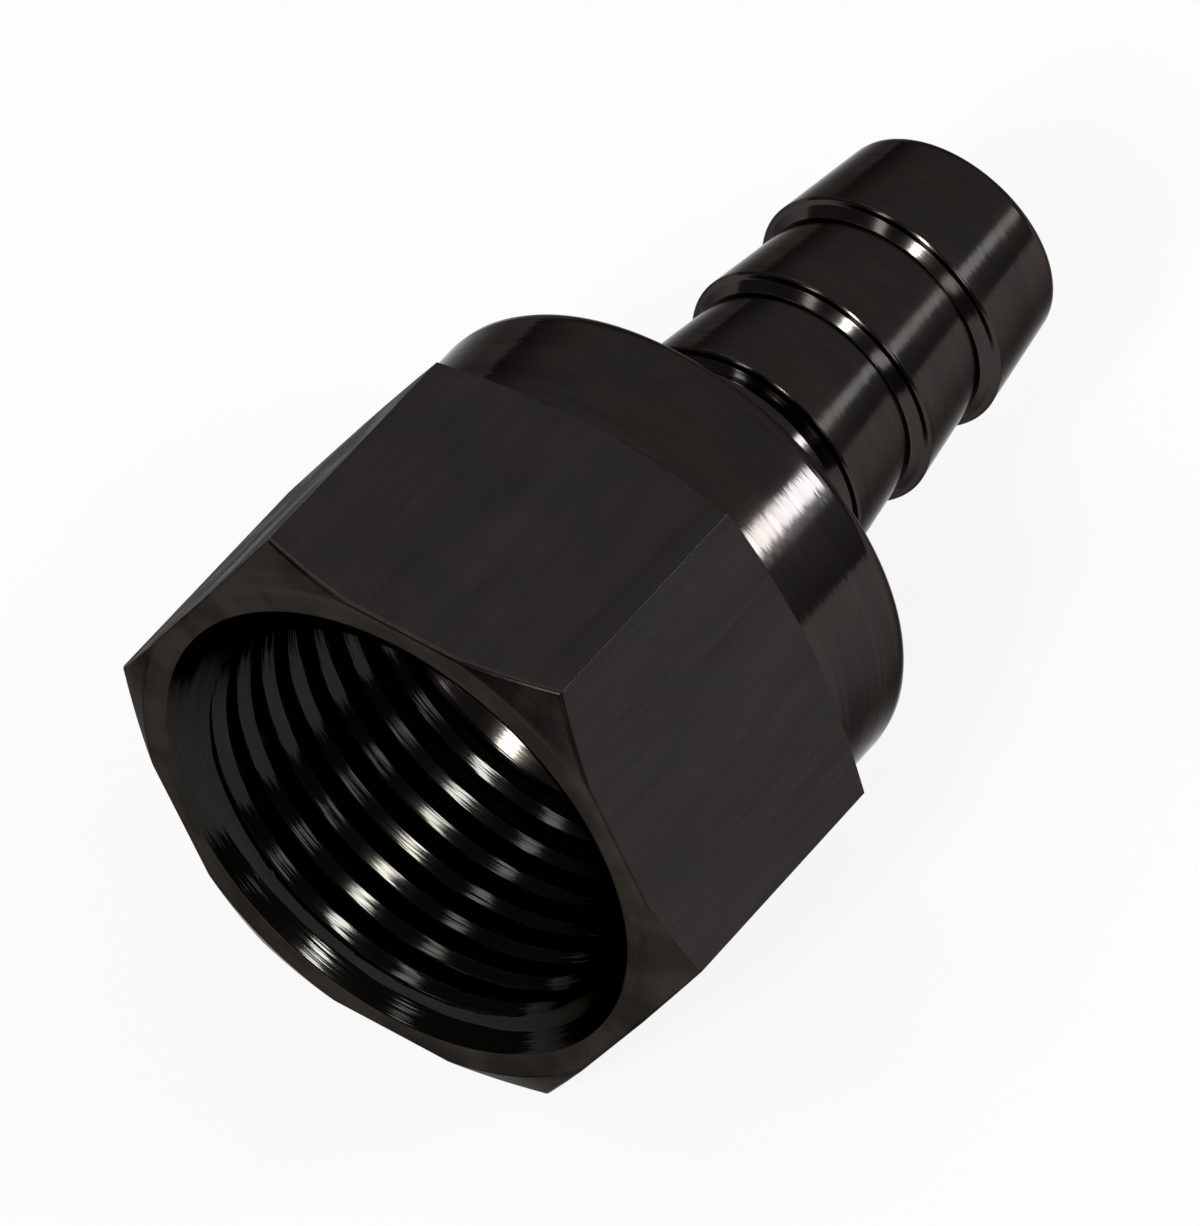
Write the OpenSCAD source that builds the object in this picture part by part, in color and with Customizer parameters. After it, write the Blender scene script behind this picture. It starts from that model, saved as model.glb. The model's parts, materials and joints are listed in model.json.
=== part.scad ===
// Swivel hose barb: a hexagon nut that turns freely on a one-piece barbed hose tail,
// with a flat seal washer in front of the tail's flange.
// The fitting lies on one flat of the nut. Its axis runs along +X, from the mouth of the nut
// to the tip of the tail. The origin is on the ground, under the middle of the fitting.
// Every profile below is drawn as [radius, distance from the mouth] and turned about the axis.

/* [Nut outside] */
// Length of the hexagon, from the mouth
hex_len = 10.6; // [8:0.1:14]
// Length of the round collar, behind the hexagon
collar_len = 4.6; // [4:0.1:8]
// Wall of the collar outside the runout groove
collar_wall = 0.7; // [0.5:0.05:1.5]
// How far the flats of the hexagon stand above the collar
flat_rise = 0.35; // [0.1:0.05:1]
// Width of the chamfer on the front corners, from the corner towards the axis
front_chamfer_w = 1.37; // [0.6:0.01:1.6]
// Angle between the end face and the chamfer on the front corners
front_chamfer_deg = 30; // [15:1:40]
// Angle between the hexagon's rear face and the chamfer on the rear corners
rear_chamfer_deg = 23; // [10:1:35]
// Rounding of the collar's rear edge
collar_edge_r = 0.5; // [0.2:0.1:1.2]

/* [Nut inside] */
// Diameter of the tapped bore at the crests of its thread
thread_minor_d = 14.95; // [13:0.05:18]
// How far the countersink at the mouth reaches outside the thread's crests
sink_w = 1.275; // [0.6:0.025:1.4]
// Angle of the countersink, from side to side
sink_deg = 120; // [90:5:130]
// Depth of the runout groove, from the thread's crests
groove_depth = 0.975; // [0.8:0.025:1.4]
// Length of the runout groove's bottom
groove_flat = 0.05; // [0.05:0.05:0.8]
// Angle of the groove's front side from square to the axis
groove_side_deg = 30; // [10:5:35]
// Angle of the cone that leads from the groove down to the plain bore, from side to side
lead_deg = 85; // [60:5:100]
// Length of the plain bore between the cone and the rear wall, where the flange and washer turn
seat_len = 2.3; // [1.8:0.1:2.6]
// Thickness of the rear wall that holds the tail's flange
rear_wall = 1.6; // [1.4:0.1:2]
// Chamfer at both ends of the hole through the rear wall
hole_edge = 0.25; // [0.1:0.05:0.4]

/* [Fits] */
// Radial running clearance between the tail's neck and the nut's rear wall
neck_gap = 0.06; // [0.02:0.01:0.1]
// Radial gap between the tail's flange and the bore of the nut
flange_gap = 0.25; // [0.15:0.05:0.4]
// End play between the tail's flange and the nut's rear wall
end_play = 0.1; // [0.05:0.05:0.2]
// Radial gap between the washer and the bore of the nut
washer_gap = 0.15; // [0.1:0.05:0.3]

/* [Hose tail] */
// Thickness of the flange inside the nut
flange_len = 1.6; // [1.2:0.1:1.8]
// Chamfer on the flange's rim
flange_edge = 0.2; // [0.1:0.05:0.4]
// Height of the neck above the barbs' crests, which pass through the nut's rear hole
neck_rise = 0.15; // [0.1:0.05:0.4]
// How far the neck stands out behind the nut
neck_out = 0.3; // [0.1:0.1:1]
// Number of barbs
barb_count = 3; // [1:1:5]
// Distance from crest to crest
barb_pitch = 4; // [3:0.1:6]
// Distance from the rear of the nut to the first crest
first_crest = 4.1; // [2.6:0.1:5]
// Height of the barbs' crests above the root between them
barb_height = 0.5; // [0.3:0.05:0.8]
// Angle between the axis and the cone at the foot of each step
foot_deg = 40; // [30:5:60]
// Height of the steep face at the top of each step, up to the crest
face_height = 0.2; // [0.1:0.05:0.25]
// Angle of the steep face from square to the axis
face_deg = 15; // [5:5:30]
// Width of the narrow land at each crest
crest_land = 0.08; // [0.04:0.02:0.2]
// Length of the tip, behind the last crest
tip_len = 4.05; // [3:0.05:6]
// Diameter of the bore through the tail
bore_d = 6; // [4:0.1:6.6]
// Wall of the tail between its barbs
tail_wall = 1.1; // [0.9:0.05:1.4]
// Wall of the tail at its tip
tip_wall = 1.05; // [0.95:0.05:1.3]
// Rounding of the tip's edge
tip_edge_r = 0.5; // [0.2:0.1:0.6]
// Chamfer at both ends of the bore
bore_edge = 0.3; // [0.1:0.1:0.3]

/* [Seal washer] */
// Thickness of the washer
washer_len = 1.2; // [1:0.1:1.4]
// Step from the bore of the tail out to the hole of the washer
washer_step = 0.6; // [0.4:0.1:1]

/* [Hidden] */
$fn = 72;

// Angle between two points on a rounded stretch
ARC_STEP = 15;
// How far a cutting or a rough shape runs past the finished face
PAST = 1;

tapped_r = thread_minor_d / 2;
groove_r = tapped_r + groove_depth;
collar_r = groove_r + collar_wall;
flat_r = collar_r + flat_rise;
corner_r = flat_r / cos(30);
nut_len = hex_len + collar_len;
shoulder = nut_len - rear_wall;
cone_end = shoulder - seat_len;
groove_end = cone_end - groove_depth / tan(lead_deg / 2);
groove_start = groove_end - groove_flat;
thread_len = groove_start - groove_depth * tan(groove_side_deg);
bore_r = bore_d / 2;
root_r = bore_r + tail_wall;
crest_r = root_r + barb_height;
neck_r = crest_r + neck_rise;
hole_r = neck_r + neck_gap;
flange_r = tapped_r - flange_gap;
flange_rear = shoulder - end_play;
flange_front = flange_rear - flange_len;
washer_front = flange_front - washer_len;
neck_end = nut_len + neck_out;
last_crest = nut_len + first_crest + (barb_count - 1) * barb_pitch;
total_len = last_crest + tip_len;

// Lays a shape that stands on the mouth of the nut down along +X, at the height of the axis
module laid_down() {
    translate([-total_len / 2, 0, flat_r]) rotate([0, 90, 0]) children();
}

// Points of a quarter round at an outer rear edge that ends at radius r and distance s
function outer_round(r, s, size) =
    [for (a = [0 : ARC_STEP : 90]) [r - size + size * cos(a), s - size + size * sin(a)]];

// Points of one barb with its crest at s: the cone at its foot, the steep face and the narrow land
function barb(s) =
    let (face_foot = s - crest_land - face_height * tan(face_deg))
    [
        [root_r, face_foot - (barb_height - face_height) / tan(foot_deg)],
        [crest_r - face_height, face_foot],
        [crest_r, s - crest_land],
        [crest_r, s]
    ];

// The nut's outside: the hexagon bar with chamfered corners, then the turned collar
module hexagon_bar() {
    end_face_r = corner_r - front_chamfer_w;
    front_reach = (front_chamfer_w + PAST) * tan(front_chamfer_deg);
    rear_reach = (corner_r + PAST - flat_r) * tan(rear_chamfer_deg);
    intersection() {
        rotate([0, 0, 30]) cylinder(r = corner_r, h = hex_len, $fn = 6);
        rotate_extrude()
            polygon([
                [0, 0],
                [end_face_r, 0],
                [corner_r + PAST, front_reach],
                [corner_r + PAST, hex_len - rear_reach],
                [flat_r, hex_len],
                [0, hex_len]
            ]);
    }
}

module collar() {
    rotate_extrude()
        polygon(concat(
            [[0, hex_len - PAST], [collar_r, hex_len - PAST]],
            outer_round(collar_r, nut_len, collar_edge_r),
            [[0, nut_len]]
        ));
}

// The nut's inside: countersink, tapped bore, runout groove, lead-in cone, plain bore and the
// hole through the rear wall
module nut_bore() {
    sink_r = tapped_r + sink_w;
    sink_depth = sink_w / tan(sink_deg / 2);
    rotate_extrude()
        polygon([
            [0, -PAST],
            [sink_r, -PAST],
            [sink_r, 0],
            [tapped_r, sink_depth],
            [tapped_r, thread_len],
            [groove_r, groove_start],
            [groove_r, groove_end],
            [tapped_r, cone_end],
            [tapped_r, shoulder],
            [hole_r + hole_edge, shoulder],
            [hole_r, shoulder + hole_edge],
            [hole_r, nut_len - hole_edge],
            [hole_r + hole_edge, nut_len],
            [hole_r + hole_edge, nut_len + PAST],
            [0, nut_len + PAST]
        ]);
}

module swivel_nut() {
    color("#2b2727") laid_down() difference() {
        union() {
            hexagon_bar();
            collar();
        }
        nut_bore();
    }
}

// One turned piece: flange, neck, barbs and tip, with the bore through all of them
module hose_stem() {
    color("#3a3733") laid_down() rotate_extrude()
        polygon(concat(
            [
                [bore_r + bore_edge, flange_front],
                [flange_r - flange_edge, flange_front],
                [flange_r, flange_front + flange_edge],
                [flange_r, flange_rear - flange_edge],
                [flange_r - flange_edge, flange_rear],
                [neck_r, flange_rear],
                [neck_r, neck_end],
                [root_r, neck_end + (neck_r - root_r) / 2]
            ],
            [for (i = [0 : barb_count - 1]) each barb(nut_len + first_crest + i * barb_pitch)],
            outer_round(bore_r + tip_wall, total_len, tip_edge_r),
            [
                [bore_r + bore_edge, total_len],
                [bore_r, total_len - bore_edge],
                [bore_r, flange_front + bore_edge]
            ]
        ));
}

// Flat washer that rests on the front face of the flange and seals against the mating spigot
module seat_washer() {
    inner_r = bore_r + washer_step;
    outer_r = tapped_r - washer_gap;
    color("#1c1c1d") laid_down() rotate_extrude()
        polygon([
            [inner_r, washer_front],
            [outer_r, washer_front],
            [outer_r, flange_front],
            [inner_r, flange_front]
        ]);
}

swivel_nut();
hose_stem();
seat_washer();
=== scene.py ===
# A swivel hose barb: a hexagon union nut that turns freely on a barbed hose tail, with a seal
# washer inside. Lengths are in metres. The fitting's axis runs along +X, from the mouth of the nut
# to the tip of the tail. A profile's points are [distance from the axis, distance from the mouth].
import json
import math

import bmesh
import bpy
import numpy as np
from mathutils import Matrix, Vector


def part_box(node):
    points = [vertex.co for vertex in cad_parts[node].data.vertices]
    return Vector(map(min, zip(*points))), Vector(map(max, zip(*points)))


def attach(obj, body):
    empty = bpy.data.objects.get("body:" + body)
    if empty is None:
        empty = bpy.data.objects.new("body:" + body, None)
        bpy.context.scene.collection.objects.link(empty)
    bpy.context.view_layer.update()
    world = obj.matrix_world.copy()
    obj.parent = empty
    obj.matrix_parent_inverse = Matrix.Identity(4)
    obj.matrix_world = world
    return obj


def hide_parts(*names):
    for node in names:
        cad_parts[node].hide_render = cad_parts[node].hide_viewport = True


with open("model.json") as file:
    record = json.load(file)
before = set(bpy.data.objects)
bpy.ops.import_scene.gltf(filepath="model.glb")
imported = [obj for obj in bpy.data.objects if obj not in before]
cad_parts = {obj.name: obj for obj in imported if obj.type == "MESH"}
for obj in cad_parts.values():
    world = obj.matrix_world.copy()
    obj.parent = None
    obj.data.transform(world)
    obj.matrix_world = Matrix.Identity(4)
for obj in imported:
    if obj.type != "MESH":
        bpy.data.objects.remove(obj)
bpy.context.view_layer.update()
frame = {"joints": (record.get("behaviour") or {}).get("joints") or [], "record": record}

# The swivel nut is turned from drawn brass hexagon bar, tapped with a fine right-hand pipe thread
# and plated with black nickel. Its six flats keep the drawn skin of the bar, and its chamfers,
# mouth and collar are turned. Its rear wall runs behind the tail's flange and holds the tail in.
MM = 0.001
mounts = {mount["name"]: mount for mount in frame["record"]["mounts"]}
axis_z = frame["joints"][0]["pos_m"][2]
nut_low, nut_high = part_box("swivel_nut")
mouth_x = nut_low.x
nut_len = nut_high.x - nut_low.x
flat_r = (nut_high.z - nut_low.z) / 2

# The hexagon, its chamfers and the collar
hex_len = 10.6 * MM
half_flat = math.pi / 6
corner_round = 0.03 * MM
corner_centre = (flat_r - corner_round) / math.cos(half_flat)
corner_half = math.atan2(corner_round / 2, corner_centre + corner_round * math.cos(half_flat))
end_face_r = 9.6 * MM
front_deburr = 0.16 * MM
rear_deburr = 0.02 * MM
front_slope = math.tan(math.radians(30))
rear_slope = math.tan(math.radians(23))
collar_r = 9.15 * MM

# The rear wall, the seat of washer and flange, the lead-in cone and the runout groove
rear_wall = 1.6 * MM
rear_hole_r = 4.81 * MM
hole_edge = 0.25 * MM
seat_len = 2.3 * MM
tapped_r = mounts["inlet_thread"]["dims"]["r_mm"] * MM
shoulder = nut_len - rear_wall
cone_end = shoulder - seat_len
groove_depth = 0.975 * MM
groove_flat = 0.05 * MM
groove_r = tapped_r + groove_depth
lead_slope = math.tan(math.radians(42.5))
groove_end = cone_end - groove_depth / lead_slope
groove_start = groove_end - groove_flat
groove_slope = math.tan(math.radians(60))
thread_end = groove_start - groove_depth / groove_slope

# The countersink: a cone at 44 degrees to the axis, and behind it, the throat, one at 71 degrees
sink_w = 1.275 * MM
sink_r = tapped_r + sink_w
sink_slope = math.tan(math.radians(44))
throat_w = 0.725 * MM
throat_r = tapped_r + throat_w
throat_slope = math.tan(math.radians(71))
throat_start = (sink_w - throat_w) / sink_slope
sink_depth = throat_start + throat_w / throat_slope

# The thread, 19 turns to the inch
pitch = 25.4 * MM / 19
thread_depth = 0.336 * MM
thread_flank = math.radians(42)
crest_land = 0.45 * MM
crest_edge = 0.07 * MM
root_round = 0.184 * MM
first_land = 0.74 * MM

# The threaded bore has a grid of its own, from just inside the mouth to high on the groove's side
bore_start = 0.1 * MM
groove_share = 0.9
bore_end = thread_end + groove_share * (groove_start - thread_end)

# Rounding of the nut's edges
fine_round = 0.05 * MM
mouth_round = 0.12 * MM
face_round = 0.25 * MM
front_round = 0.22 * MM
rear_round = 0.07 * MM
collar_root_round = 0.06 * MM
collar_round = 0.5 * MM
seat_round = 0.1 * MM
groove_round = 0.04 * MM


def nut_angles():
    """Angles about the axis from the middle of the top flat all the way round: corner - u and corner + u,
    where u goes in even steps along the flat, and in fine ones over the corner's rounding."""
    flat_steps, corner_steps = 17, 7
    beside_rounding = 1.6 * corner_half
    along_flat = np.linspace(half_flat, beside_rounding, flat_steps)
    over_corner = np.linspace(-corner_half, corner_half, corner_steps)
    sixth = np.concatenate([-along_flat, over_corner, along_flat[:0:-1]])
    corners = half_flat * (1 + 2 * np.arange(6))
    return np.append((corners[:, None] + sixth).ravel(), 2 * math.pi)


def hexagon_radius(angles):
    """Distance from the axis to the hexagon, flat_r / cos(t) at t from the middle of a flat. At u from a
    corner, within its rounding, it is c cos(u) + sqrt(round^2 - c^2 sin(u)^2), the far side of the
    rounding's circle, with the centre at c from the axis."""
    off_flat = (angles + half_flat) % (2 * half_flat) - half_flat
    off_corner = half_flat - np.abs(off_flat)
    under_root = corner_round**2 - (corner_centre * np.sin(off_corner)) ** 2
    rounding = corner_centre * np.cos(off_corner) + np.sqrt(np.maximum(under_root, 0))
    return np.where(off_corner < corner_half, rounding, flat_r / np.cos(off_flat))


def rounded(corners, closed=False):
    """Softens a profile of (distance from the axis, distance from the mouth, radius). Each corner P with
    a radius becomes (1-t)^2 A + 2t(1-t) P + t^2 B, where A and B lie on its two sides, radius *
    tan(turn / 2) from P, or at most reach_share of a side. A row a little outside A and one outside B
    keep the sides flat up to the rounding."""
    steps, hold, shortest = 4, 0.05 * MM, 1e-12
    reach_share, hold_share = 0.45, 0.48
    size = np.broadcast_shapes(*(np.shape(value) for corner in corners for value in corner[:2]))
    points = [np.stack([np.broadcast_to(v, size) for v in corner[:2]]).astype(float) for corner in corners]
    t = np.linspace(0, 1, steps + 1).reshape(-1, *[1] * points[0].ndim)
    rows = []
    for i, (point, radius) in enumerate(zip(points, (corner[2] for corner in corners))):
        if not radius:
            rows.append(point[None])
            continue
        sides = [points[i - 1] - point, points[(i + 1) % len(points)] - point]
        lengths = [np.maximum(np.hypot(*side), shortest) for side in sides]
        before, after = (side / length for side, length in zip(sides, lengths))
        turn = math.pi - np.arccos(np.clip((before * after).sum(0), -1, 1))
        reach = np.minimum(radius * np.tan(turn / 2), reach_share * np.minimum(*lengths))
        start, end = point + before * reach, point + after * reach
        rows.append((point + before * np.minimum(reach + hold, hold_share * lengths[0]))[None])
        rows.append((1 - t) ** 2 * start + 2 * t * (1 - t) * point + t**2 * end)
        rows.append((point + after * np.minimum(reach + hold, hold_share * lengths[1]))[None])
    if closed:
        rows.append(rows[0][:1])
    return np.concatenate(rows)


def turned(profile, angles):
    """The profile at each angle a about the axis, right-handed about +X:
    x = mouth + distance, y = -r sin(a), z = axis + r cos(a)."""
    r = profile[:, 0].reshape(len(profile), -1)
    x = mouth_x + profile[:, 1].reshape(len(profile), -1)
    y, z = -r * np.sin(angles), axis_z + r * np.cos(angles)
    return np.stack(np.broadcast_arrays(x, y, z), -1)


def thread_turn():
    """One pitch of the thread, as (distance along, height over the crest): half a crest's land, its edge
    r(1 - cos b), a straight flank, the round root depth - r + r cos b, and the same mirrored."""
    edge_steps, flank_steps, root_steps = 4, 5, 7
    edge = np.linspace(0, thread_flank, edge_steps)
    flat_half = crest_land / 2 - crest_edge * math.tan(thread_flank / 2)
    crest = np.stack([flat_half + crest_edge * np.sin(edge), crest_edge * (1 - np.cos(edge))])
    round_root = np.linspace(-thread_flank, thread_flank, root_steps)
    root = np.stack([
        pitch / 2 + root_round * np.sin(round_root),
        thread_depth - root_round + root_round * np.cos(round_root),
    ])
    flank = np.linspace(crest[:, -1], root[:, 0], flank_steps)[1:-1].T
    mirrored = [np.stack([pitch - part[0], part[1]])[:, ::-1] for part in (flank, crest)]
    return np.concatenate([crest, flank, root, *mirrored], 1)


def threaded_bore(angles):
    """The bore from the countersink to the runout groove. Each point lies at r = max(cone, thread, groove),
    where cone is the nearer to the axis of the countersink's two cones. Its rows follow the helix
    along = first_land + pitch * (a / turn + n), and circles in the countersink and the groove's side."""
    sink_rows, groove_rows = 22, 6
    turn_along, turn_height = thread_turn()
    helix = first_land + pitch * angles / (2 * math.pi)
    turns = np.arange(-2, math.ceil(bore_end / pitch) + 1)
    helical = (turns[:, None] * pitch + turn_along).reshape(-1, 1) + helix
    circles = np.concatenate([
        np.linspace(bore_start, sink_depth, sink_rows),
        np.linspace(thread_end, bore_end, groove_rows),
    ])
    circular = np.broadcast_to(circles[:, None], (len(circles), len(angles)))
    along = np.sort(np.concatenate([np.clip(helical, bore_start, bore_end), circular]), axis=0)
    place = (along - helix) % pitch
    thread = tapped_r + np.interp(place, np.append(turn_along, pitch), np.append(turn_height, 0))
    cone = np.minimum(sink_r - along * sink_slope, throat_r - (along - throat_start) * throat_slope)
    groove = tapped_r + (along - thread_end) * groove_slope
    return np.stack([np.maximum(np.maximum(cone, groove), thread), along], 1)


def solid(name, surfaces):
    """One closed mesh from grids of points: every four neighbours make a face, points that meet are
    merged, the faces are turned outwards, and edges that turn by more than sharp stay crisp."""
    sharp = math.radians(32)
    meeting, collapsed = 0.0002 * MM, 0.0001 * MM
    points, faces, count = [], [], 0
    for surface in surfaces:
        rows, columns = surface.shape[:2]
        index = count + np.arange(rows * columns).reshape(rows, columns)
        cells = index[:-1, :-1], index[1:, :-1], index[1:, 1:], index[:-1, 1:]
        faces.append(np.stack(cells, -1).reshape(-1, 4))
        points.append(surface.reshape(-1, 3))
        count += rows * columns
    mesh = bpy.data.meshes.new(name)
    mesh.from_pydata(np.concatenate(points), [], np.concatenate(faces))
    work = bmesh.new()
    work.from_mesh(mesh)
    bmesh.ops.remove_doubles(work, verts=work.verts, dist=meeting)
    bmesh.ops.dissolve_degenerate(work, edges=work.edges, dist=collapsed)
    bmesh.ops.recalc_face_normals(work, faces=work.faces)
    work.to_mesh(mesh)
    work.free()
    mesh.shade_smooth()
    mesh.set_sharp_from_angle(angle=sharp)
    piece = bpy.data.objects.new(name, mesh)
    bpy.context.scene.collection.objects.link(piece)
    return piece


around = nut_angles()
hexagon = hexagon_radius(around)
face_r = np.minimum(end_face_r, hexagon - front_deburr)
outside = rounded([
    (sink_r - bore_start * sink_slope, bore_start, 0),
    (sink_r, 0, mouth_round),
    (face_r, 0, face_round),
    (hexagon, (hexagon - face_r) * front_slope, front_round),
    (hexagon, hex_len - (hexagon - flat_r) * rear_slope, rear_round),
    (np.minimum(flat_r, hexagon - rear_deburr), hex_len, fine_round),
    (collar_r, hex_len, collar_root_round),
    (collar_r, nut_len, collar_round),
    (rear_hole_r + hole_edge, nut_len, fine_round),
    (rear_hole_r, nut_len - hole_edge, fine_round),
    (rear_hole_r, shoulder + hole_edge, fine_round),
    (rear_hole_r + hole_edge, shoulder, fine_round),
    (tapped_r, shoulder, seat_round),
    (tapped_r, cone_end, fine_round),
    (groove_r, groove_end, groove_round),
    (groove_r, groove_start, groove_round),
    (tapped_r + (bore_end - thread_end) * groove_slope, bore_end, 0),
])
nut = solid("swivel_nut_finish", [turned(outside, around), turned(threaded_bore(around), around)])

# Black nickel is a hard dark grey plate, bright enough to mirror, over the marks of the tools
# beneath it: fine rings on every turned face, and streaks along the drawn flats of the hexagon.


def node_group(name, inputs, outputs):
    """An empty shader group whose sockets are (name, kind), with its inner inputs and outputs."""
    tree = bpy.data.node_groups.new(name, "ShaderNodeTree")
    for direction, sockets in (("INPUT", inputs), ("OUTPUT", outputs)):
        for socket_name, kind in sockets:
            tree.interface.new_socket(socket_name, in_out=direction, socket_type="NodeSocket" + kind)
    return tree, tree.nodes.new("NodeGroupInput").outputs, tree.nodes.new("NodeGroupOutput").inputs


def node(tree, kind, *sources, **settings):
    """A node whose inputs, in order, are set to a value or joined to a socket."""
    made = tree.nodes.new("ShaderNode" + kind)
    for setting, value in settings.items():
        setattr(made, setting, value)
    for socket, source in zip((s for s in made.inputs if s.enabled), sources):
        if isinstance(source, bpy.types.NodeSocket):
            tree.links.new(source, socket)
        else:
            socket.default_value = source
    return made


def math_node(tree, operation, *sources):
    """A Math node's result."""
    return node(tree, "Math", *sources, operation=operation).outputs[0]


def map_range(tree, value, given, wanted):
    """The value taken smoothly from one range (low, high) onto another."""
    return node(tree, "MapRange", value, *given, *wanted, interpolation_type="SMOOTHSTEP").outputs[0]


def noise(tree, place, scale, detail, rough):
    """Noise over a place."""
    return node(tree, "TexNoise", place, scale, detail, rough, noise_dimensions="3D").outputs[0]


def noise_round_axis(tree, place, fourth, scale, detail, rough):
    """Noise over a place and a fourth coordinate, which tells the sides of the axis apart."""
    return node(tree, "TexNoise", place, fourth, scale, detail, rough, noise_dimensions="4D").outputs[0]


def stretched(tree, place, factors):
    """The place times a factor along each coordinate."""
    return node(tree, "VectorMath", place, factors, operation="MULTIPLY").outputs[0]


def leave_marks(tree, fine, broad, depth, result):
    """What a group of marks puts out: Height is fine * depth, in metres, and Tone, which lies about 0,
    is 0.4 fine + 0.6 broad - 0.5."""
    fine_tone = math_node(tree, "MULTIPLY", fine, 0.4)
    broad_tone = math_node(tree, "MULTIPLY", broad, 0.6)
    both = math_node(tree, "ADD", fine_tone, broad_tone)
    tree.links.new(math_node(tree, "MULTIPLY", fine, depth), result["Height"])
    tree.links.new(math_node(tree, "SUBTRACT", both, 0.5), result["Tone"])


def turning_marks():
    """Rings left by the turning tool: noise that runs quickly along the axis and outwards and slowly
    round it. Its place is (x / spacing, r / spacing, y / r, z / r), so it closes on itself after a turn."""
    tree, given, result = node_group(
        "Turning marks",
        [("Place", "Vector"), ("Spacing", "Float"), ("Depth", "Float")],
        [("Height", "Float"), ("Tone", "Float")],
    )
    nearest_r = 0.1 * MM
    x, y, z = node(tree, "SeparateXYZ", given["Place"]).outputs
    y_squared = math_node(tree, "MULTIPLY", y, y)
    z_squared = math_node(tree, "MULTIPLY", z, z)
    r = math_node(tree, "SQRT", math_node(tree, "ADD", y_squared, z_squared))
    divisor = math_node(tree, "MAXIMUM", r, nearest_r)
    per_ring = math_node(tree, "DIVIDE", 1.0, given["Spacing"])
    rings = node(
        tree, "CombineXYZ",
        math_node(tree, "MULTIPLY", x, per_ring),
        math_node(tree, "MULTIPLY", r, per_ring),
        math_node(tree, "DIVIDE", y, divisor),
    ).outputs[0]
    broad_rings = stretched(tree, rings, (0.16, 0.16, 2.0))
    fourth = math_node(tree, "DIVIDE", z, divisor)
    fine = noise_round_axis(tree, rings, fourth, scale=1.0, detail=2.0, rough=0.6)
    broad = noise_round_axis(tree, broad_rings, fourth, scale=1.0, detail=3.0, rough=0.6)
    leave_marks(tree, fine, broad, given["Depth"], result)
    return tree


def drawing_marks():
    """Streaks left by the drawing die: noise stretched along the axis, once fine and once broad. Its
    place is (x / length, y / spacing, z / spacing)."""
    tree, given, result = node_group(
        "Drawing marks",
        [("Place", "Vector"), ("Spacing", "Float"), ("Length", "Float"), ("Depth", "Float")],
        [("Height", "Float"), ("Tone", "Float")],
    )
    across = math_node(tree, "DIVIDE", 1.0, given["Spacing"])
    lengthwise = math_node(tree, "DIVIDE", 1.0, given["Length"])
    factors = node(tree, "CombineXYZ", lengthwise, across, across).outputs[0]
    streaks = stretched(tree, given["Place"], factors)
    broad_streaks = stretched(tree, streaks, (0.5, 0.12, 0.12))
    fine = noise(tree, streaks, scale=1.0, detail=3.0, rough=0.6)
    broad = noise(tree, broad_streaks, scale=1.0, detail=3.0, rough=0.6)
    leave_marks(tree, fine, broad, given["Depth"], result)
    return tree


def plating_tone():
    """The plate's colour and roughness. The colour drifts from a cool to a warm tint in cloudy patches,
    times 1 + marks, and the roughness is times 0.85 to 1.2 over the clouds and 1 - marks / 2."""
    tree, given, result = node_group(
        "Plating tone",
        [
            ("Place", "Vector"), ("Cool", "Color"), ("Warm", "Color"),
            ("Marks", "Float"), ("Roughness", "Float"),
        ],
        [("Color", "Color"), ("Roughness", "Float")],
    )
    clouds = noise(tree, given["Place"], scale=420.0, detail=3.0, rough=0.55)
    warmth = map_range(tree, clouds, (0.35, 0.65), (0.0, 1.0))
    tint = node(tree, "Mix", warmth, given["Cool"], given["Warm"], data_type="RGBA").outputs[2]
    light = math_node(tree, "ADD", 1.0, given["Marks"])
    tree.links.new(node(tree, "VectorMath", tint, light, operation="SCALE").outputs[0], result["Color"])
    marked = math_node(tree, "ADD", 1.0, math_node(tree, "MULTIPLY", given["Marks"], -0.5))
    cloudy = map_range(tree, clouds, (0.3, 0.7), (0.85, 1.2))
    factor = math_node(tree, "MULTIPLY", cloudy, marked)
    tree.links.new(math_node(tree, "MULTIPLY", factor, given["Roughness"]), result["Roughness"])
    return tree


turning = turning_marks()
drawing = drawing_marks()
plating = plating_tone()


def placed_group(tree, group, sources):
    """The outputs of a group placed in a material, with its named inputs set or joined."""
    made = tree.nodes.new("ShaderNodeGroup")
    made.node_tree = group
    for name, source in sources.items():
        if isinstance(source, bpy.types.NodeSocket):
            tree.links.new(source, made.inputs[name])
        else:
            made.inputs[name].default_value = source
    return made.outputs


def black_nickel(name, marks, marks_values, cool, warm, roughness, edge=0.41):
    """Black nickel over one kind of tool mark, between a cool and a warm tint. A low edge value keeps it
    dark where it is seen at a slant. The coordinates are centred on the fitting's axis."""
    material = bpy.data.materials.new(name)
    material.use_nodes = True
    tree = material.node_tree
    shader = tree.nodes["Principled BSDF"]
    shader.inputs["Metallic"].default_value = 1.0
    shader.inputs["Specular Tint"].default_value = (edge, edge, edge, 1)
    place = node(tree, "Mapping", node(tree, "TexCoord").outputs["Object"], (0, 0, -axis_z)).outputs[0]
    cut = placed_group(tree, marks, {"Place": place, **marks_values})
    plate = placed_group(tree, plating, {
        "Place": place, "Cool": (*cool, 1), "Warm": (*warm, 1),
        "Marks": cut["Tone"], "Roughness": roughness,
    })
    bump = node(tree, "Bump")
    bump.inputs["Distance"].default_value = 1.0
    bump.inputs["Strength"].default_value = 1.0
    tree.links.new(cut["Height"], bump.inputs["Height"])
    tree.links.new(plate["Color"], shader.inputs["Base Color"])
    tree.links.new(plate["Roughness"], shader.inputs["Roughness"])
    tree.links.new(bump.outputs[0], shader.inputs["Normal"])
    return material


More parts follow.
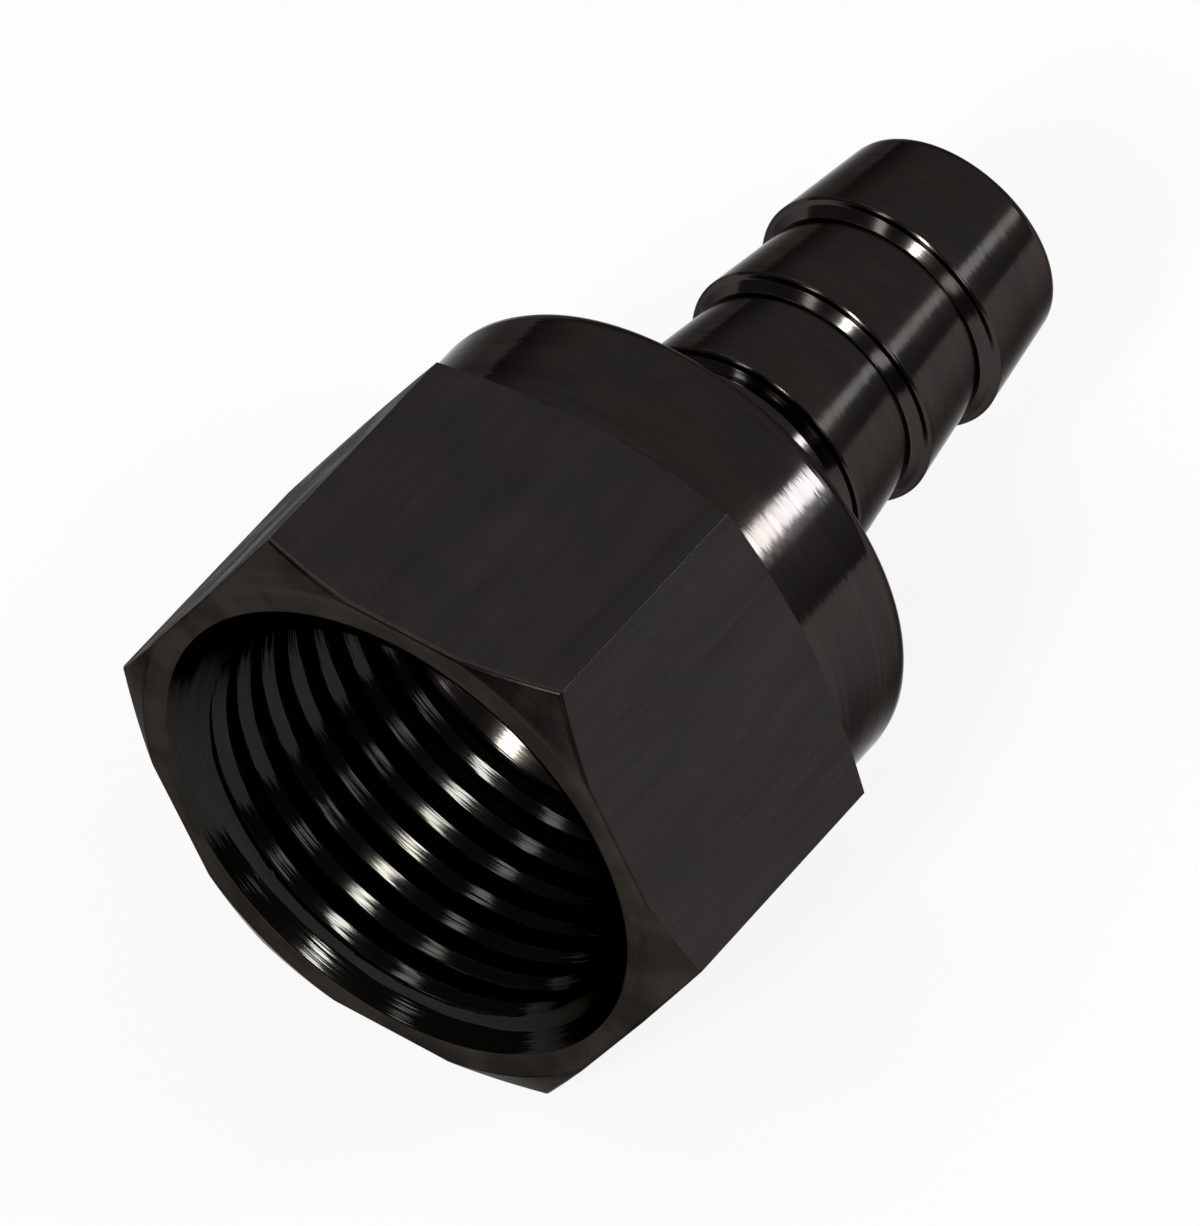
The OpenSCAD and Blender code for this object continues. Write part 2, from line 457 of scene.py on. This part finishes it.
turned_plate = black_nickel(
    "turned_black_nickel", turning, {"Spacing": 0.2 * MM, "Depth": 9e-6},
    cool=(0.040, 0.036, 0.035), warm=(0.045, 0.038, 0.034), roughness=0.1,
)
drawn_plate = black_nickel(
    "drawn_black_nickel", drawing, {"Spacing": 0.15 * MM, "Length": 5 * MM, "Depth": 3e-6},
    cool=(0.046, 0.041, 0.042), warm=(0.050, 0.042, 0.042), roughness=0.38, edge=0.18,
)
# Painted shade: the threaded bore's plate is a darker copy, under half as bright as the turned plate, that
# stands in for the shade inside the bore.
threaded_plate_painted_shade = black_nickel(
    "threaded_black_nickel_painted_shade", turning, {"Spacing": 0.12 * MM, "Depth": 15e-6},
    cool=(0.018, 0.018, 0.017), warm=(0.020, 0.019, 0.017), roughness=0.1, edge=0.12,
)
# Painted shade: the end face and front chamfers get a darker copy of the plate, with stronger cloudy
# patches, standing in for the nut's own shadow on the floor mirrored in them.
faced_plate_painted_shade = black_nickel(
    "faced_black_nickel_painted_shade", turning, {"Spacing": 0.3 * MM, "Depth": 4e-6},
    cool=(0.022, 0.019, 0.017), warm=(0.037, 0.031, 0.026), roughness=0.25,
)
for plate in (turned_plate, drawn_plate, threaded_plate_painted_shade, faced_plate_painted_shade):
    nut.data.materials.append(plate)
turned_slot, drawn_slot, thread_shade_slot, face_shade_slot = range(4)

# Each face of the nut gets the plate over the marks of the tool that made it, told by its place and
# by facing, the part of its normal along the axis. The threaded bore and the mouth's faces get darker
# copies of the plate, which are painted shade.
flat_margin = 0.02 * MM
steepest_flat, shallowest_front = 0.2, 0.3
face_count = len(nut.data.polygons)
centres = np.empty(face_count * 3)
normals = np.empty(face_count * 3)
nut.data.polygons.foreach_get("center", centres)
nut.data.polygons.foreach_get("normal", normals)
centres = centres.reshape(-1, 3)
from_axis = np.hypot(centres[:, 1], centres[:, 2] - axis_z)
along_nut = centres[:, 0] - mouth_x
facing = normals.reshape(-1, 3)[:, 0]
on_flats = (from_axis > flat_r - flat_margin) & (np.abs(facing) < steepest_flat)
on_front = (from_axis >= sink_r) & (facing < -shallowest_front)
in_thread = (from_axis < sink_r) & (along_nut < groove_start)
face_slots = np.select(
    [on_flats, on_front, in_thread], [drawn_slot, face_shade_slot, thread_shade_slot], default=turned_slot)
nut.data.polygons.foreach_set("material_index", face_slots.astype(np.int32))
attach(nut, "nut")
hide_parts("swivel_nut")

# The hose tail is turned from brass rod in one piece and plated like the nut. From the front it has
# the flange that the nut pulls on, the neck that runs in the nut's rear wall, three barbs, each
# with a short cone and a steep face towards the nut and a long taper towards the tip, and a plain tip.

# Flange, neck and tip
tail_low, tail_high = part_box("hose_stem")
flange_front = tail_low.x - mouth_x
tail_end = tail_high.x - mouth_x
flange_r = (tail_high.z - tail_low.z) / 2
flange_len = 1.6 * MM
flange_rear = flange_front + flange_len
flange_edge = 0.2 * MM
waterway_r = mounts["waterway"]["dims"]["r_mm"] * MM
waterway_edge = 0.3 * MM
neck_r = 4.75 * MM
neck_out = 0.3 * MM
neck_end = nut_len + neck_out
neck_root_round = 0.1 * MM
root_r = 4.1 * MM
taper_root_round = 0.2 * MM
tip_r = 4.05 * MM
tip_round = 0.5 * MM

# The barbs
barb_count = 3
barb_pitch = 4 * MM
first_crest_out = 4.1 * MM
crest_r = 4.6 * MM
barb_height = crest_r - root_r
foot_slope = math.tan(math.radians(40))
foot_round = 0.03 * MM
face_height = 0.16 * MM
face_slope = math.tan(math.radians(15))
face_top_round = 0.02 * MM
crest_bevel = 0.065 * MM
bevel_slope = math.tan(math.radians(40))


def barb(crest):
    """A barb with its crest at that distance: a cone that climbs by height / length = foot_slope, a steep
    face that leans back by face_slope, and a narrow bevel. The taper runs on to the next barb."""
    face_top = crest - crest_bevel / bevel_slope
    face_foot = face_top - face_height * face_slope
    foot_height = barb_height - crest_bevel - face_height
    return [
        (root_r, face_foot - foot_height / foot_slope, foot_round),
        (root_r + foot_height, face_foot, foot_round),
        (crest_r - crest_bevel, face_top, face_top_round),
        (crest_r, crest, fine_round),
    ]


crests = nut_len + first_crest_out + barb_pitch * np.arange(barb_count)
barbs = [point for crest in crests for point in barb(crest)]
tail_profile = rounded([
    (waterway_r, flange_front + waterway_edge, fine_round),
    (waterway_r + waterway_edge, flange_front, fine_round),
    (flange_r - flange_edge, flange_front, fine_round),
    (flange_r, flange_front + flange_edge, fine_round),
    (flange_r, flange_rear - flange_edge, fine_round),
    (flange_r - flange_edge, flange_rear, fine_round),
    (neck_r, flange_rear, neck_root_round),
    (neck_r, neck_end, fine_round),
    (root_r, neck_end + (neck_r - root_r) / 2, taper_root_round),
    *barbs,
    (tip_r, tail_end, tip_round),
    (waterway_r + waterway_edge, tail_end, fine_round),
    (waterway_r, tail_end - waterway_edge, fine_round),
], closed=True)
turn_steps = 240
full_turn = np.linspace(0, 2 * math.pi, turn_steps + 1)
tail = solid("hose_stem_finish", [turned(tail_profile, full_turn)])
tail.data.materials.append(black_nickel(
    "tail_black_nickel", turning, {"Spacing": 0.2 * MM, "Depth": 5e-6},
    cool=(0.040, 0.036, 0.035), warm=(0.045, 0.038, 0.034), roughness=0.13,
))
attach(tail, "tail")
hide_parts("hose_stem")

# The seal washer is a flat ring moulded in black rubber. It lies against the front of the tail's
# flange, where the mating spigot presses on it.
washer_low, washer_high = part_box("seat_washer")
washer_front = washer_low.x - mouth_x
washer_rear = washer_high.x - mouth_x
washer_r = (washer_high.z - washer_low.z) / 2
washer_step = 0.6 * MM
washer_hole_r = waterway_r + washer_step
washer_round = 0.12 * MM
washer_profile = rounded([
    (washer_hole_r, washer_front, washer_round),
    (washer_r, washer_front, washer_round),
    (washer_r, washer_rear, washer_round),
    (washer_hole_r, washer_rear, washer_round),
], closed=True)
washer = solid("seat_washer_finish", [turned(washer_profile, full_turn)])


def black_rubber():
    """Moulded rubber. A bloom drifts from black to dark grey, and a fine grain sets roughness and bump."""
    material = bpy.data.materials.new("black_rubber")
    material.use_nodes = True
    tree = material.node_tree
    shader = tree.nodes["Principled BSDF"]
    shader.inputs["Specular IOR Level"].default_value = 0.4
    black, bloomed = (0.016, 0.016, 0.017, 1), (0.03, 0.03, 0.03, 1)
    place = node(tree, "TexCoord").outputs["Object"]
    grain = noise(tree, place, scale=9000.0, detail=3.0, rough=0.6)
    bloom = noise(tree, place, scale=500.0, detail=2.0, rough=0.5)
    colour = node(tree, "Mix", bloom, black, bloomed, data_type="RGBA").outputs[2]
    bump = node(tree, "Bump")
    bump.inputs["Distance"].default_value = 4e-6
    tree.links.new(grain, bump.inputs["Height"])
    tree.links.new(colour, shader.inputs["Base Color"])
    tree.links.new(map_range(tree, grain, (0.3, 0.7), (0.55, 0.75)), shader.inputs["Roughness"])
    tree.links.new(bump.outputs[0], shader.inputs["Normal"])
    return material


washer.data.materials.append(black_rubber())
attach(washer, "tail")
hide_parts("seat_washer")

# The studio: a pale matt floor that the nut lies on, a soft grey surround and a few softboxes,
# each where the fitting's own highlights say that the light came from.
floor_half = 3.0
floor_mesh = bpy.data.meshes.new("floor")
floor_mesh.from_pydata(
    [(floor_half * x, floor_half * y, 0) for x, y in ((-1, -1), (1, -1), (1, 1), (-1, 1))],
    [], [(0, 1, 2, 3)],
)
floor = bpy.data.objects.new("floor", floor_mesh)
bpy.context.scene.collection.objects.link(floor)
floor_material = bpy.data.materials.new("pale_floor")
floor_material.use_nodes = True
floor_tree = floor_material.node_tree
floor_shader = floor_tree.nodes["Principled BSDF"]
floor_shader.inputs["Base Color"].default_value = (0.93, 0.93, 0.93, 1)
floor_shader.inputs["Roughness"].default_value = 0.9
floor_shader.inputs["Specular IOR Level"].default_value = 0.0

# To the camera and in mirrors the floor is mostly plain white, and the rest of it keeps the shadow
floor_glow = 0.88
path = node(floor_tree, "LightPath").outputs
mirrored = math_node(floor_tree, "MAXIMUM", path["Is Glossy Ray"], path["Is Transmission Ray"])
seen = math_node(floor_tree, "MAXIMUM", path["Is Camera Ray"], mirrored)
glow = math_node(floor_tree, "MULTIPLY", seen, floor_glow)
white = node(floor_tree, "Emission", (1, 1, 1, 1), 1.0).outputs[0]
floor_surface = node(floor_tree, "MixShader", glow, floor_shader.outputs[0], white).outputs[0]
floor_tree.links.new(floor_surface, floor_tree.nodes["Material Output"].inputs["Surface"])
floor_mesh.materials.append(floor_material)

# The surround is dim at floor level and at the mouth's end, and brighter overhead and behind the tail
scene = bpy.context.scene
scene.view_settings.view_transform = "Standard"
world = bpy.data.worlds.new("soft_surround")
scene.world = world
world.use_nodes = True
surround = world.node_tree
looking = node(surround, "TexCoord").outputs["Generated"]
looking_x, _, looking_z = node(surround, "SeparateXYZ", looking).outputs
by_height = map_range(surround, looking_z, (-0.25, 0.5), (0.08, 0.42))
by_end = map_range(surround, looking_x, (-0.65, 0.15), (0.25, 1.0))
brightness = math_node(surround, "MULTIPLY", by_height, by_end)
surround.links.new(brightness, surround.nodes["Background"].inputs["Strength"])
surround.nodes["Background"].inputs["Color"].default_value = (1, 1, 1, 1)

lamp_distance = 1.0


def direction(azimuth, elevation):
    """The unit vector towards azimuth A and elevation E, in degrees: (sin A cos E, -cos A cos E, sin E)."""
    a, e = math.radians(azimuth), math.radians(elevation)
    return Vector((math.sin(a) * math.cos(e), -math.cos(a) * math.cos(e), math.sin(e)))


def softbox(name, azimuth, elevation, wide, high, radiance, colour=(1, 1, 1)):
    """A rectangular softbox that faces the fitting from that direction. Its size is the angle that it
    fills, in degrees, and it is as bright as radiance times a white surface in full light."""
    lamp = bpy.data.lights.new(name, "AREA")
    lamp.shape = "RECTANGLE"
    lamp.size = 2 * lamp_distance * math.tan(math.radians(wide / 2))
    lamp.size_y = 2 * lamp_distance * math.tan(math.radians(high / 2))
    lamp.energy = radiance * math.pi * lamp.size * lamp.size_y
    lamp.color = colour
    back = direction(azimuth, elevation)
    made = bpy.data.objects.new(name, lamp)
    made.location = Vector((0, 0, axis_z)) + back * lamp_distance
    made.rotation_euler = back.to_track_quat("Z", "Y").to_euler()
    scene.collection.objects.link(made)


softbox("key", azimuth=40, elevation=31.2, wide=9, high=8, radiance=27, colour=(0.91, 0.98, 1.03))
softbox("key_fade", azimuth=43, elevation=24.5, wide=9, high=5, radiance=3, colour=(0.91, 0.98, 1.03))
softbox("low_strip", azimuth=53, elevation=20, wide=12, high=6, radiance=3.4, colour=(0.92, 1.0, 1.05))
softbox("side", azimuth=-79, elevation=42, wide=6.5, high=17, radiance=50, colour=(0.97, 1.0, 0.95))
softbox("front", azimuth=-48.5, elevation=24.7, wide=8, high=12, radiance=4)
softbox("rear", azimuth=-121, elevation=42, wide=6.5, high=16, radiance=6)
softbox("overhead", azimuth=180, elevation=62, wide=30, high=30, radiance=1.2)

# The camera looks at the mouth of the nut from the photograph's viewing angle, a little turned
# about its own axis, through a long lens.
view_back = direction(-57.159, 48.036)
view_roll = math.radians(1.970)
view_aim = Vector((-2.931, 0.900, 7.725)) * MM
view_distance = 609.909 * MM
camera = bpy.data.objects.new("camera", bpy.data.cameras.new("camera"))
camera.data.lens = 565.98
camera.data.sensor_width = 36
camera.data.clip_start = 0.01
camera_turn = Matrix.Rotation(view_roll, 3, view_back) @ view_back.to_track_quat("Z", "Y").to_matrix()
camera.matrix_world = Matrix.Translation(view_aim + view_back * view_distance) @ camera_turn.to_4x4()
scene.collection.objects.link(camera)
scene.camera = camera
